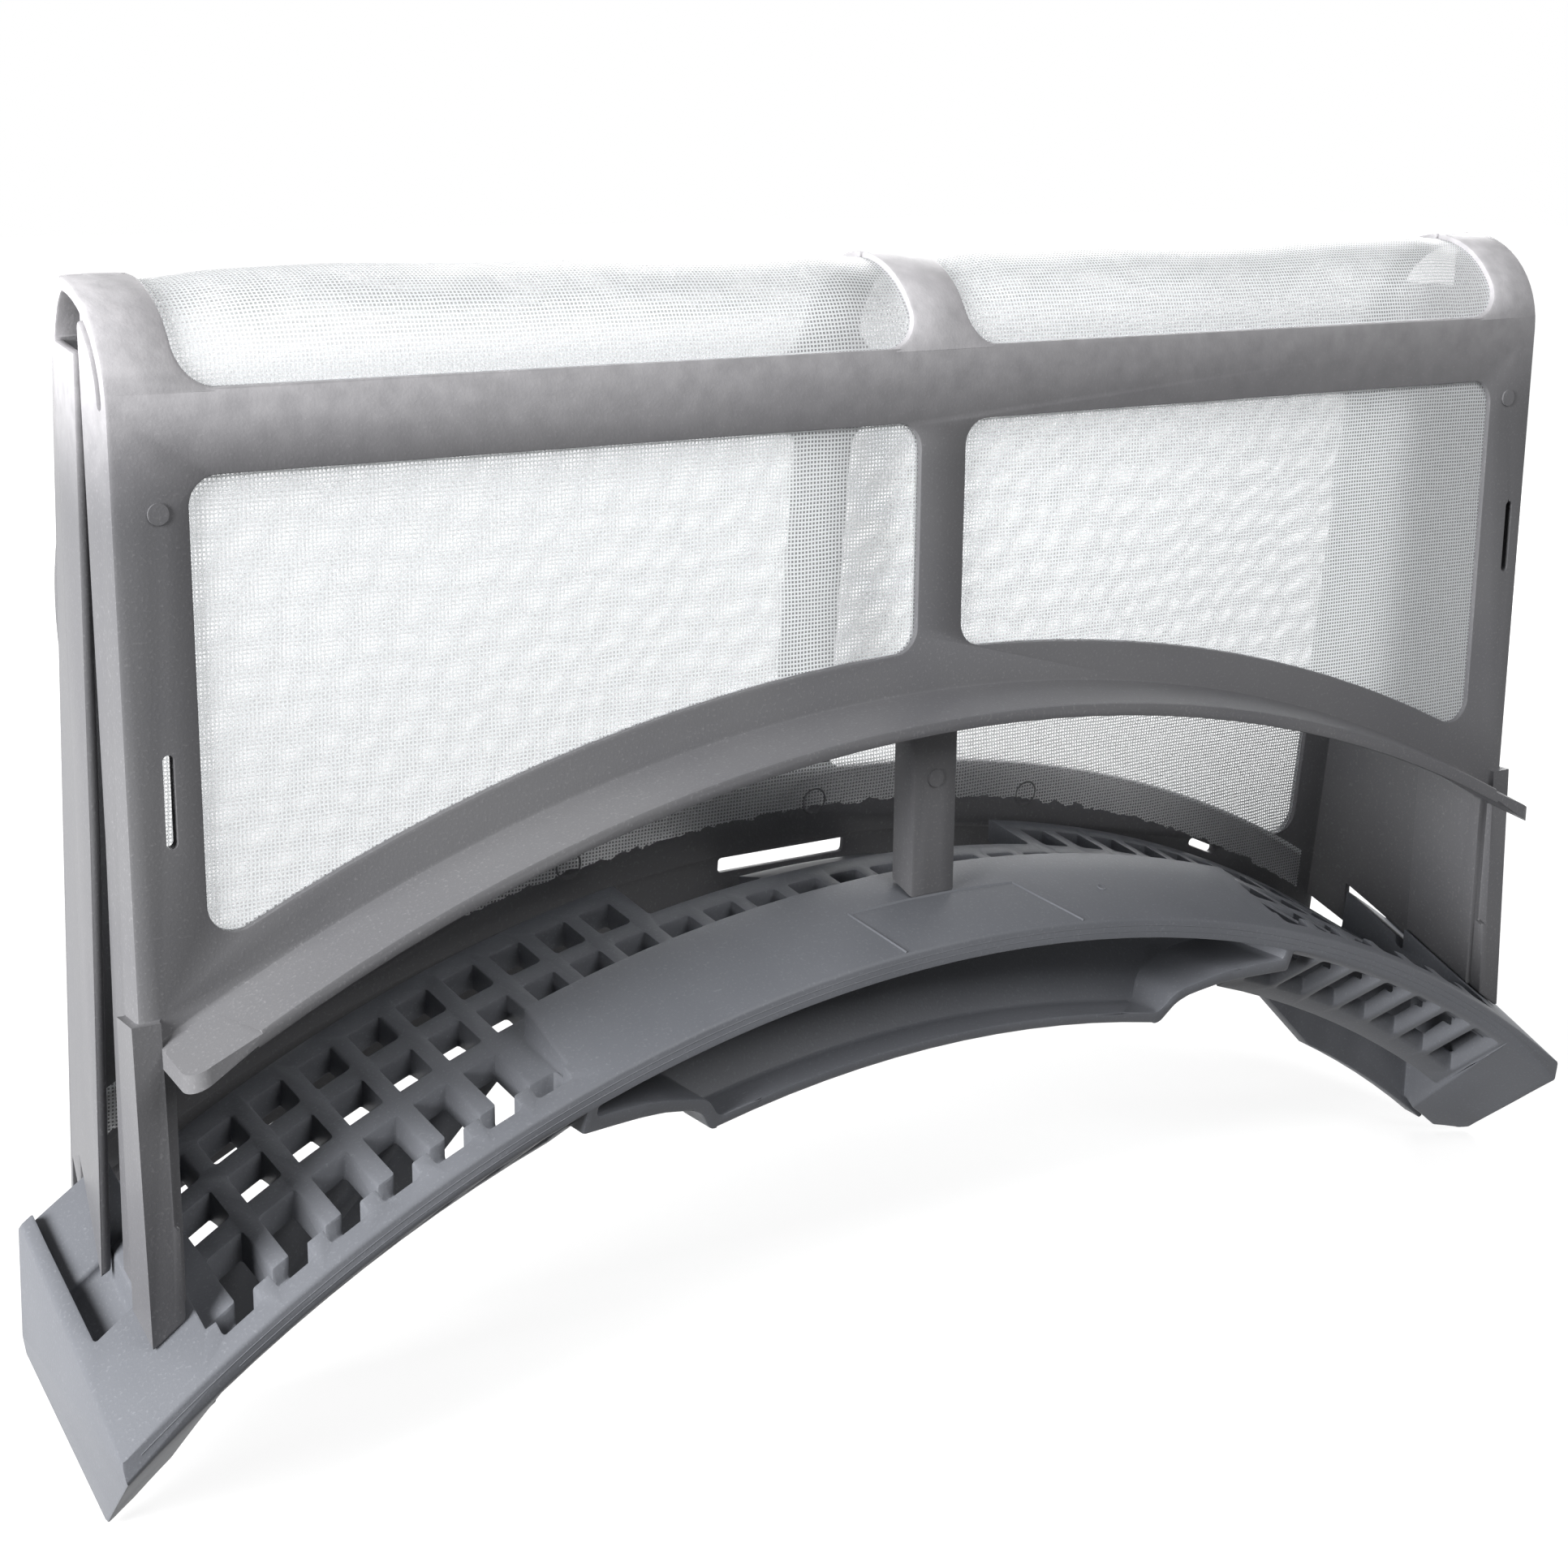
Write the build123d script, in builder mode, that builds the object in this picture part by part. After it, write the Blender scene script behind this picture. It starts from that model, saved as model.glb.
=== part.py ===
"""Tumble dryer lint filter: a folded mesh pocket that stands on an arched grille with a hand grip."""

import os
from math import asin, cos, degrees, radians, sin, sqrt, tan

from build123d import *

# Arch: every curved edge is an arc about one axis that runs along Y below the part
half_length = 138.6
rim_radius = 223.3
crown_z = 66.4
arch_z = crown_z - rim_radius

# Base: front rim, end blocks and the cone that their tops lie on
rim_y = -28.0
rim_slope = 0.339
rim_edge = 3.1
block_inner_x = half_length - 14.6
block_rear_y = 14.3
block_round = 1.6
block_heel_y = 16.3
block_heel_radius = rim_radius - 4.3
keel_y = -6.5
keel_radius = rim_radius - 19.3

# Base: slanted underside of the end blocks, through a line on each end face, its tip and its taper
under_front_y = -11.2
under_front_z = 0.7
under_rear_y = 16.3
under_rear_z = 15.7
under_drop = 0.35
end_round = 5.0
end_taper = 1.2
end_draft = 0.16
end_draft_z = 18.0

# Base: pockets in the end blocks that take the rear leaf's tongues
pocket_inner_x = half_length - 9.15
pocket_outer_x = half_length - 3.0
pocket_front_y = -10.9
pocket_inner_front_y = -0.9
pocket_step_y = 0.8
pocket_depth = 3.6
pocket_rear_depth = 2.2
pocket_gap = 0.8

# Base: flange behind the rim, the ribbed apron below it and the apron's rear web
flange_rear_y = -22.0
apron_inner_x = 66.0
apron_rear_y = -11.7
apron_low_radius = rim_radius - 14.1
apron_wall = 3.0
rib_gap = 6.4
rib_front_y = -26.6
rib_rear_y = -15.8
web_y = -2.7
web_wall = 3.0
web_lap = 1.0
web_inner_x = 70.0
web_step_x = 97.5
web_step_radius = rim_radius - 5.1

# Base: grille wall and its rows of holes
grille_front_radius = rim_radius - 0.8
grille_slope = 0.145
grille_wall = 4.0
grille_rear_y = 18.0
grille_front_lap = 1.0
hole_pitch = 8.0
hole_width = 5.4
hole_length = 7.0
rear_row_y = 9.8
rear_row_x = 44.0
middle_row_y = -1.2
middle_row_x = 4.0
third_row_front_y = -22.0
third_row_rear_y = -9.0
third_row_x = 76.0
recess_front_y = -24.65
recess_rear_y = -19.4
recess_floor = 1.2
recess_x = 72.0

# Base: rear edge with two finger notches and the springy latch tab between them
notch_outer_x = 38.0
notch_front_y = 6.6
tab_half_width = 13.0
tab_root_half_width = 19.3
tab_front_y = 3.6
tab_rear_y = 19.5
tab_rear_radius = rim_radius + 0.2
tab_wall = 2.2

# Base: hand grip over the grille and the finger scoop below it
grip_half_length = 68.6
grip_rear_y = -9.0
grip_plate = 3.2
scoop_wall = 2.0
scoop_lip_y = -21.7
scoop_lip_radius = rim_radius - 19.5
scoop_back_radius = rim_radius - 9.3
scoop_foot_y = -15.0
scoop_flat_x = 43.0
scoop_bend_x = 46.3
scoop_bend_radius = rim_radius - 15.9
scoop_shoulder_x = 50.5
scoop_shoulder_radius = rim_radius - 13.1
scoop_end_radius = rim_radius - 7.0

# Folding frame: sheet thickness, fold and the tilt of the rear leaf
leaf_y = -16.7
leaf_half_width = half_length - 9.3
sheet = 1.8
fold_radius = 15.6
fold_z = 153.2
rear_tilt = 6.0
hinge_gap = 0.2

# Front leaf: windows and the straps over the fold
window_top_z = fold_z - 8.7
window_outer_x = leaf_half_width - 10.3
window_band = 6.5
centre_bar = 8.4
window_corner = 4.0
top_window_z = fold_z + 2.3
top_window_corner = 5.5
strap_inner_x = leaf_half_width - 9.7
centre_strap = 10.0

# Front leaf: flared lip, vents and ejector pips
lip_radius = rim_radius + 36.7
lip_drop = 1.6
lip_reach = 10.6
lip_wall = 2.2
lip_corner = 3.0
lip_half_length = leaf_half_width - 2.7
vent_length = 12.6
vent_width = 1.6
left_vent_x = 5.9 - leaf_half_width
left_vent_z = fold_z - 50.5
right_vent_x = leaf_half_width - 3.4
right_vent_z = fold_z - 36.6
pip_radius = 1.4
pip_height = 0.3
left_pip_x = 6.1 - leaf_half_width
left_pip_z = fold_z - 13.1
right_pip_x = leaf_half_width - 6.0
right_pip_z = fold_z - 11.9
strut_pip_z = crown_z + 22.9

# Front leaf: side walls, legs and the centre strut
side_wall = 3.3
side_wall_rear_y = -7.7
side_wall_low_rear_y = -4.4
inner_wall_x = leaf_half_width - 4.8
inner_wall = 2.0
inner_wall_rear_y = -1.2
wall_fold_gap = 1.3
leg_top_z = 73.5
leg_step_z = 44.9
leg_width = 4.0
leg_step = 0.9
leg_proud = 1.2
leg_top_y = -17.6
leg_low_y = -20.3
leg_rear_y = -11.7
foot_gap = 0.1
strut_depth = 5.4
strut_wall = 1.8

# Rear leaf: windows, band, skirt and slots
rear_half_width = leaf_half_width - 4.1
rear_bar_z = fold_z - 1.7
rear_window_top_z = fold_z - 12.7
rear_window_outer_x = rear_half_width - 7.7
rear_centre_bar = 10.0
rear_window_radius = rim_radius + 15.7
band_radius = rim_radius + 3.7
skirt_radius = rim_radius - 7.3
skirt_low_z = crown_z - 40.4
skirt_step = 0.7
latch_slot_width = 25.0
latch_slot_height = 2.5
latch_slot_x = -2.3
latch_slot_radius = rim_radius + 1.3
drain_x = 94.0
drain_radius = rim_radius + 8.1
drain_length = 7.7
drain_width = 1.5

# Rear leaf: side walls that lap over the front leaf's, tongues and finger bumps
lap_wall = 1.5
lap_front_y = -6.5
lap_taper_z = fold_z - 56.7
lap_lean = 0.21
lap_depth = 40.0
lap_top_z = fold_z + 6.3
tongue_tip_y = -2.2
tongue_tip_z = 27.2
tongue_rear_z = 40.5
bump_low_z = fold_z - 40.7
bump_high_z = fold_z - 17.2
bump_height = 2.4
bump_inner_x = rear_half_width - 6.2
bump_root = 0.6
bump_edge = 0.3

# Mesh: one screen behind both leaves, drawn as thin sheets
mesh_sheet = 0.4
mesh_gap = 0.05
mesh_half_width = rear_half_width - 2.2
front_mesh_radius = lip_radius + 2.0
rear_mesh_radius = rear_window_radius - 7.0

reach = 400.0
fold_y = leaf_y + fold_radius
hinge_z = fold_z + fold_radius
tilt = radians(rear_tilt)
rear_top_y = fold_y + fold_radius * cos(tilt)
rear_top_z = fold_z + fold_radius * sin(tilt)
rear_plane = Plane((0, rear_top_y, rear_top_z), x_dir=(1, 0, 0), z_dir=(0, -cos(tilt), -sin(tilt)))
lap_plane = Plane((0, rear_top_y, rear_top_z), x_dir=(1, 0, 0), z_dir=(0, -sin(tilt), cos(tilt)))


def cone_radius(y):
    """Radius of the rim, grip and block tops at a depth."""
    return rim_radius + rim_slope * (y - rim_y)


def grille_radius(y):
    """Radius of the grille's top at a depth."""
    return grille_front_radius + grille_slope * (y - rim_y)


def arch_height(radius, x):
    """Height of an arch of this radius at one place along the part."""
    return arch_z + sqrt(radius**2 - x**2)


def rear_face_y(z):
    """Depth of the rear leaf's outer face at a height."""
    return rear_top_y + tan(tilt) * (rear_top_z - z)


def on_rear(z):
    """Place of a height along the rear leaf's tilted plane."""
    return (z - rear_top_z) / cos(tilt)


def arch_slab(section, x_from, x_to):
    """A (depth, radius) section turned about the arch, kept between two planes of constant x."""
    margin = 2.0
    least = min(radius for _, radius in section)
    swing = degrees(asin(x_to / least)) + 2 * margin
    turn = radians(margin)
    with BuildPart() as slab:
        with BuildSketch(Plane((0, 0, arch_z), x_dir=(0, 1, 0), z_dir=(cos(turn), 0, sin(turn)))):
            Polygon(*section, align=None)
        revolve(axis=Axis((0, 0, arch_z), (0, 1, 0)), revolution_arc=swing)
        with Locations(((x_from + x_to) / 2, 0, 0)):
            Box(x_to - x_from, reach, 2 * reach, mode=Mode.INTERSECT)
    return slab.part


def hole_row(places, y, width, length):
    """Prism of one row of upright holes."""
    with BuildPart() as row:
        with BuildSketch(Plane.XY):
            with Locations(*[(x, y) for x in places]):
                Rectangle(width, length)
        extrude(amount=reach)
    return row.part


def columns(first_x, end_x):
    """Places of the grille's columns from the first one up to an end wall."""
    count = int((end_x - hole_width - first_x) / hole_pitch) + 1
    return [first_x + hole_pitch * index for index in range(count)]


def under_skin(front_y, rear_y, depth):
    """Section of the room above a depth below the grille's top."""
    return [
        (front_y, grille_radius(front_y) - depth),
        (rear_y, grille_radius(rear_y) - depth),
        (rear_y, lip_radius),
        (front_y, lip_radius),
    ]


def scoop_outline(inset):
    """Right half of the grip and scoop seen from the front, drawn in by a wall."""
    lip = scoop_lip_radius + inset
    flat_x = scoop_flat_x - inset / 2
    end_x = grip_half_length - inset
    crown = (0, arch_height(lip, 0))
    half = (flat_x / 2, arch_height(lip, flat_x / 2))
    flat = (flat_x, arch_height(lip, flat_x))
    bend = (scoop_bend_x - inset / 2, arch_height(scoop_bend_radius + inset, scoop_bend_x))
    shoulder = (scoop_shoulder_x - inset / 2, arch_height(scoop_shoulder_radius + inset, scoop_shoulder_x))
    rise = (end_x, arch_height(scoop_end_radius + inset, end_x))
    with BuildSketch(Plane.XZ) as outline:
        with BuildLine():
            lip_arc = ThreePointArc(crown, half, flat)
            Spline(flat, bend, shoulder, rise, tangents=[lip_arc % 1, (1, 0)])
            Polyline(rise, (end_x, hinge_z), (0, hinge_z), crown)
        make_face()
    return outline.sketch


# Sections of the base as (depth, radius) points
block_floor = [(block_heel_y, block_heel_radius), (keel_y, keel_radius), (rim_y, rim_radius - rim_edge)]
block_section = [
    (rim_y, rim_radius),
    (block_rear_y - block_round, cone_radius(block_rear_y - block_round)),
    (block_rear_y, cone_radius(block_rear_y) - block_round),
] + block_floor


def pocket_section(front_y):
    """Section of an end block whose top is cut down to a stepped floor behind one depth."""
    step = cone_radius(pocket_step_y)
    return [
        (rim_y, rim_radius),
        (front_y, cone_radius(front_y)),
        (front_y, cone_radius(front_y) - pocket_depth),
        (pocket_step_y, step - pocket_depth),
        (pocket_step_y, step - pocket_rear_depth),
        (block_rear_y, cone_radius(block_rear_y) - pocket_rear_depth),
    ] + block_floor


apron_section = [
    (rim_y, rim_radius - rim_edge),
    (apron_rear_y, apron_low_radius),
    (apron_rear_y, apron_low_radius + apron_wall),
    (flange_rear_y, grille_radius(flange_rear_y) - grille_wall + recess_floor / 2),
    (rim_y + grille_front_lap, rim_radius - rim_edge / 2),
]
web_front_y = web_y - web_wall / 2
web_rear_y = web_y + web_wall / 2
web_section = [
    (web_front_y, keel_radius),
    (web_rear_y, keel_radius),
    (web_rear_y, grille_radius(web_rear_y) - grille_wall + web_lap),
    (web_front_y, grille_radius(web_front_y) - grille_wall + web_lap),
]
flange_section = [
    (rim_y, rim_radius),
    (flange_rear_y, cone_radius(flange_rear_y)),
    (flange_rear_y, grille_radius(flange_rear_y) - grille_wall),
    (rim_y, rim_radius - rim_edge),
]
grille_front_y = flange_rear_y - grille_front_lap
grille_section = [
    (grille_front_y, grille_radius(grille_front_y)),
    (grille_rear_y, grille_radius(grille_rear_y)),
    (grille_rear_y, grille_radius(grille_rear_y) - grille_wall),
    (grille_front_y, grille_radius(grille_front_y) - grille_wall),
]
tab_section = [
    (tab_front_y, grille_radius(tab_front_y)),
    (tab_rear_y, tab_rear_radius),
    (tab_rear_y, tab_rear_radius - tab_wall),
    (tab_front_y, grille_radius(tab_front_y) - grille_wall),
]
grip_section = [
    (rim_y, rim_radius),
    (grip_rear_y, cone_radius(grip_rear_y)),
    (grip_rear_y, scoop_back_radius),
    (scoop_foot_y, scoop_lip_radius),
    (scoop_lip_y, scoop_lip_radius),
    (rim_y, rim_radius - rim_edge),
]
hollow_front_y = rim_y - scoop_wall
hollow_rear_y = grip_rear_y - scoop_wall
hollow_section = [
    (hollow_front_y, cone_radius(hollow_front_y) - grip_plate),
    (hollow_rear_y, cone_radius(hollow_rear_y) - grip_plate),
    (hollow_rear_y, scoop_back_radius + scoop_wall / 2),
    (scoop_foot_y - scoop_wall / 2, scoop_lip_radius + scoop_wall),
    (hollow_front_y, scoop_lip_radius + scoop_wall),
]

with BuildPart() as grip_block:
    add(arch_slab(grip_section, 0, grip_half_length))
    extrude(scoop_outline(0), amount=reach, both=True, mode=Mode.INTERSECT)

with BuildPart() as grip_hollow:
    add(arch_slab(hollow_section, 0, grip_half_length))
    extrude(scoop_outline(scoop_wall), amount=reach, both=True, mode=Mode.INTERSECT)

recess_places = columns(recess_x, pocket_inner_x)

with BuildPart() as third_row:
    third_row_y = (third_row_front_y + third_row_rear_y) / 2
    third_row_length = third_row_rear_y - third_row_front_y
    add(arch_slab(under_skin(third_row_front_y, third_row_rear_y, grille_wall + recess_floor), 0, pocket_inner_x))
    third_holes = hole_row(columns(third_row_x, block_inner_x), third_row_y, hole_width, third_row_length)
    add(third_holes, mode=Mode.INTERSECT)

with BuildPart() as recess_row:
    recess_y = (recess_front_y + recess_rear_y) / 2
    recess_length = recess_rear_y - recess_front_y
    add(arch_slab(under_skin(recess_front_y, recess_rear_y, grille_wall - recess_floor), 0, pocket_inner_x))
    add(hole_row(recess_places, recess_y, hole_width, recess_length), mode=Mode.INTERSECT)

with BuildPart() as latch_tab:
    add(arch_slab(tab_section, 0, tab_root_half_width))
    with BuildSketch(Plane.XY):
        flare = tab_root_half_width - tab_half_width
        root = [(0, tab_front_y), (tab_root_half_width, tab_front_y), (tab_root_half_width, notch_front_y)]
        tip = [(tab_half_width, notch_front_y + flare), (tab_half_width, tab_rear_y), (0, tab_rear_y)]
        Polygon(*root, *tip, align=None)
    extrude(amount=reach, mode=Mode.INTERSECT)

with BuildPart() as apron:
    add(arch_slab(apron_section, apron_inner_x, pocket_inner_x))
    rib_y = (rib_front_y + rib_rear_y) / 2
    add(hole_row(recess_places, rib_y, rib_gap, rib_rear_y - rib_front_y), mode=Mode.SUBTRACT)

with BuildPart() as web:
    add(arch_slab(web_section, web_inner_x, pocket_inner_x))
    with BuildSketch(Plane.XZ):
        web_low_z = arch_height(keel_radius, web_step_x)
        web_high_z = arch_height(web_step_radius, web_inner_x)
        Polygon((web_step_x, 0), (web_step_x, web_low_z), (web_inner_x, web_high_z), (0, web_high_z), (0, 0), align=None)
    extrude(amount=reach, both=True, mode=Mode.SUBTRACT)

along = Vector(0, under_rear_y - under_front_y, under_rear_z - under_front_z)
inward = Vector(-1, 0, -under_drop)
under_plane = Plane((half_length, under_front_y, under_front_z), x_dir=along, z_dir=inward.cross(along))
rearward = Vector(-end_taper, block_heel_y - rim_y, 0)
upward = Vector(end_draft, 0, 1)
end_plane = Plane((half_length, rim_y, end_draft_z), x_dir=rearward, z_dir=rearward.cross(upward))

with BuildPart() as grille_base:
    add(arch_slab(grille_section, 0, block_inner_x + web_wall))
    with BuildSketch(Plane.XY):
        with Locations((0, notch_front_y + reach / 2)):
            Rectangle(2 * notch_outer_x, reach)
    extrude(amount=reach, mode=Mode.SUBTRACT)
    add(latch_tab.part)
    rear_places = columns(rear_row_x, block_inner_x)
    middle_places = columns(middle_row_x, block_inner_x)
    add(hole_row(rear_places, rear_row_y, hole_width, hole_length), mode=Mode.SUBTRACT)
    add(hole_row(middle_places, middle_row_y, hole_width, hole_length), mode=Mode.SUBTRACT)
    add(arch_slab(flange_section, 0, pocket_inner_x))
    add(apron.part)
    add(third_row.part, mode=Mode.SUBTRACT)
    add(recess_row.part, mode=Mode.SUBTRACT)
    add(web.part)
    add(arch_slab(pocket_section(pocket_inner_front_y), block_inner_x, pocket_inner_x))
    add(arch_slab(pocket_section(pocket_front_y), pocket_inner_x, pocket_outer_x))
    add(arch_slab(block_section, pocket_outer_x, half_length))
    add(grip_block.part)
    add(grip_hollow.part, mode=Mode.SUBTRACT)
    with BuildSketch(under_plane):
        Rectangle(reach / 2, reach / 2)
    extrude(amount=reach / 2, mode=Mode.SUBTRACT)
    with Locations((0, 0, -reach / 2)):
        Box(2 * reach, reach, reach, mode=Mode.SUBTRACT)
    with BuildSketch(Plane.XZ):
        with Locations((half_length - end_round / 2, end_round / 2)):
            Rectangle(end_round, end_round)
        with Locations((half_length - end_round, end_round)):
            Circle(end_round, mode=Mode.SUBTRACT)
    extrude(amount=reach, both=True, mode=Mode.SUBTRACT)
    with BuildSketch(end_plane):
        Rectangle(reach, reach)
    extrude(amount=reach / 2, mode=Mode.SUBTRACT)
    with BuildSketch(Plane.XY):
        end_line = [(half_length, rim_y), (half_length - end_taper, block_heel_y)]
        Polygon(*end_line, (reach, block_heel_y), (reach, rim_y), align=None)
    extrude(amount=reach, mode=Mode.SUBTRACT)
    mirror(about=Plane.YZ)
grille_base.part.label = "grille_base"


def leaf_profile(inset, thickness, rear):
    """Section of one leaf and its half of the fold, as a sheet set in from the outer face."""
    outer = fold_radius - inset
    inner = outer - thickness
    swing = rear_tilt - 90 if rear else 90
    foot_y = rear_face_y(0) if rear else leaf_y
    toward = -1 / cos(tilt) if rear else 1
    with BuildSketch(Plane.YZ) as profile:
        with BuildLine():
            outer_arc = CenterArc((fold_y, fold_z), outer, 90, swing)
            inner_arc = CenterArc((fold_y, fold_z), inner, 90, swing)
            Line(outer_arc @ 0, inner_arc @ 0)
            outer_foot = (foot_y + toward * inset, 0)
            inner_foot = (foot_y + toward * (inset + thickness), 0)
            Polyline(outer_arc @ 1, outer_foot, inner_foot, inner_arc @ 1)
        make_face()
    return profile.sketch


def window_outline(inner_x, outer_x, top, radius, centre):
    """Right-hand window with an arched lower edge, in the plane of a leaf."""
    mid_x = (inner_x + outer_x) / 2
    inner_low = (inner_x, centre + sqrt(radius**2 - inner_x**2))
    mid_low = (mid_x, centre + sqrt(radius**2 - mid_x**2))
    outer_low = (outer_x, centre + sqrt(radius**2 - outer_x**2))
    with BuildSketch() as outline:
        with BuildLine():
            ThreePointArc(inner_low, mid_low, outer_low)
            Polyline(outer_low, (outer_x, top), (inner_x, top), inner_low)
        make_face()
        fillet(outline.vertices(), window_corner)
    return outline.sketch


def top_window(low_z):
    """Prism of the right-hand window over the fold, above one height."""
    width = strap_inner_x - centre_strap / 2
    with BuildPart() as prism:
        with BuildSketch(Plane.XZ):
            with Locations(((strap_inner_x + centre_strap / 2) / 2, low_z + reach / 2)):
                RectangleRounded(width, reach, top_window_corner)
        extrude(amount=reach, both=True)
    return prism.part


def side_plate(x_from, thickness, rear_y, low_rear_y):
    """Side wall of the front leaf, rounded inside the fold and cut off at the rear."""
    with BuildPart() as plate:
        with BuildSketch(Plane.YZ.offset(x_from)):
            with Locations((fold_y, fold_z)):
                Circle(fold_radius - sheet - wall_fold_gap)
            Polygon((leaf_y, 0), (reach, 0), (reach, fold_z), (leaf_y, fold_z), align=None)
            behind = [(rear_y, hinge_z), (rear_y, lap_taper_z), (low_rear_y, 0), (reach, 0), (reach, hinge_z)]
            Polygon(*behind, align=None, mode=Mode.SUBTRACT)
        extrude(amount=thickness)
    return plate.part


lip_section = [
    (leaf_y + sheet, lip_radius),
    (leaf_y, lip_radius),
    (leaf_y - lip_reach, lip_radius - lip_drop),
    (leaf_y - lip_reach, lip_radius - lip_drop - lip_wall),
    (leaf_y + sheet, lip_radius - lip_wall),
]
seat_front_y = rim_y - sheet
seat_section = [
    (seat_front_y, half_length + sheet),
    (seat_front_y, cone_radius(seat_front_y) + foot_gap),
    (block_rear_y, cone_radius(block_rear_y) + foot_gap),
    (block_rear_y, half_length + sheet),
]
hinge_slit = Location((0, fold_y, hinge_z))

with BuildPart() as lip:
    add(arch_slab(lip_section, 0, lip_half_length))
    with BuildSketch(Plane.XY):
        with Locations((0, leaf_y + lip_reach)):
            RectangleRounded(2 * lip_half_length, 4 * lip_reach, lip_corner)
    extrude(amount=reach, mode=Mode.INTERSECT)

with BuildPart() as front_leaf_frame:
    extrude(leaf_profile(0, sheet, False), amount=leaf_half_width)
    with BuildSketch(Plane.XZ):
        add(window_outline(centre_bar / 2, window_outer_x, window_top_z, lip_radius + window_band, arch_z))
    extrude(amount=reach, both=True, mode=Mode.SUBTRACT)
    add(top_window(top_window_z), mode=Mode.SUBTRACT)
    with BuildSketch(Plane.XZ):
        with Locations((0, arch_z)):
            Circle(lip_radius - lip_wall)
    extrude(amount=reach, both=True, mode=Mode.SUBTRACT)
    add(lip.part)
    add(side_plate(leaf_half_width - side_wall, side_wall, side_wall_rear_y, side_wall_low_rear_y))
    add(side_plate(inner_wall_x, inner_wall, inner_wall_rear_y, inner_wall_rear_y))
    with BuildSketch(Plane.YZ.offset(leaf_half_width + leg_proud)):
        Polygon((leg_low_y, 0), (leg_rear_y, 0), (leg_rear_y, leg_top_z), (leg_top_y, leg_top_z), align=None)
    extrude(amount=-leg_width)
    with BuildSketch(Plane.YZ.offset(leaf_half_width + leg_proud)):
        leg_step_y = leg_low_y + (leg_top_y - leg_low_y) * leg_step_z / leg_top_z
        Polygon((leg_low_y, 0), (leg_rear_y, 0), (leg_rear_y, leg_step_z), (leg_step_y, leg_step_z), align=None)
    extrude(amount=-leg_width - leg_step)
    with BuildSketch(Plane.XY):
        with Locations((centre_bar / 4, leaf_y + strut_depth / 2)):
            Rectangle(centre_bar / 2, strut_depth)
        with Locations((0, leaf_y + strut_wall + strut_depth / 2)):
            Rectangle(centre_bar - 2 * strut_wall, strut_depth, mode=Mode.SUBTRACT)
    extrude(amount=arch_height(lip_radius - lip_wall / 2, centre_bar / 2))
    add(arch_slab(seat_section, 0, half_length), mode=Mode.SUBTRACT)
    mirror(about=Plane.YZ)
    with Locations(hinge_slit):
        Box(reach, hinge_gap, 2 * sheet + hinge_gap, mode=Mode.SUBTRACT)
    with BuildSketch(Plane.XZ.offset(-leaf_y)):
        with Locations((left_vent_x, left_vent_z), (right_vent_x, right_vent_z)):
            SlotOverall(vent_length, vent_width, rotation=90)
    extrude(amount=2 * sheet, both=True, mode=Mode.SUBTRACT)
    with BuildSketch(Plane.XZ.offset(-leaf_y)):
        with Locations((left_pip_x, left_pip_z), (right_pip_x, right_pip_z), (0, strut_pip_z)):
            Circle(pip_radius)
    extrude(amount=pip_height)
front_leaf_frame.part.label = "front_leaf_frame"

# Side wall of the rear leaf: its plan across the leaf, and the line that trims the leaf's edge
lap_spread = lap_lean * lap_depth
lap_outer_line = [(rear_half_width, 0), (rear_half_width + lap_spread, -lap_depth)]
lap_inner_line = [(rear_half_width + lap_spread - lap_wall, -lap_depth), (rear_half_width - lap_wall, 0)]
trim_rear = [(0, bump_height), (rear_half_width - lap_lean * bump_height, bump_height)]
trim_front = [(rear_half_width + lap_spread, -lap_depth), (0, -lap_depth)]
pocket_floor_section = [
    (rim_y, half_length + sheet),
    (rim_y, cone_radius(rim_y) - pocket_rear_depth + pocket_gap),
    (block_heel_y, cone_radius(block_heel_y) - pocket_rear_depth + pocket_gap),
    (block_heel_y, half_length + sheet),
]

with BuildPart() as lap_side:
    with BuildSketch(lap_plane):
        Polygon(*lap_outer_line, *lap_inner_line, align=None)
    extrude(amount=reach / 2, both=True)
    with BuildSketch(Plane.YZ):
        with Locations((fold_y, fold_z)):
            Circle(fold_radius)
        Polygon(
            (lap_front_y, fold_z),
            (lap_front_y, lap_taper_z),
            (tongue_tip_y, tongue_tip_z),
            (rear_face_y(tongue_rear_z), tongue_rear_z),
            (rear_top_y, rear_top_z),
            align=None,
        )
        with Locations((fold_y, lap_top_z + reach / 2), (lap_front_y - reach / 2, fold_z)):
            Rectangle(reach, reach, mode=Mode.SUBTRACT)
    extrude(amount=reach, mode=Mode.INTERSECT)
    add(arch_slab(pocket_floor_section, 0, half_length), mode=Mode.SUBTRACT)

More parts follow.
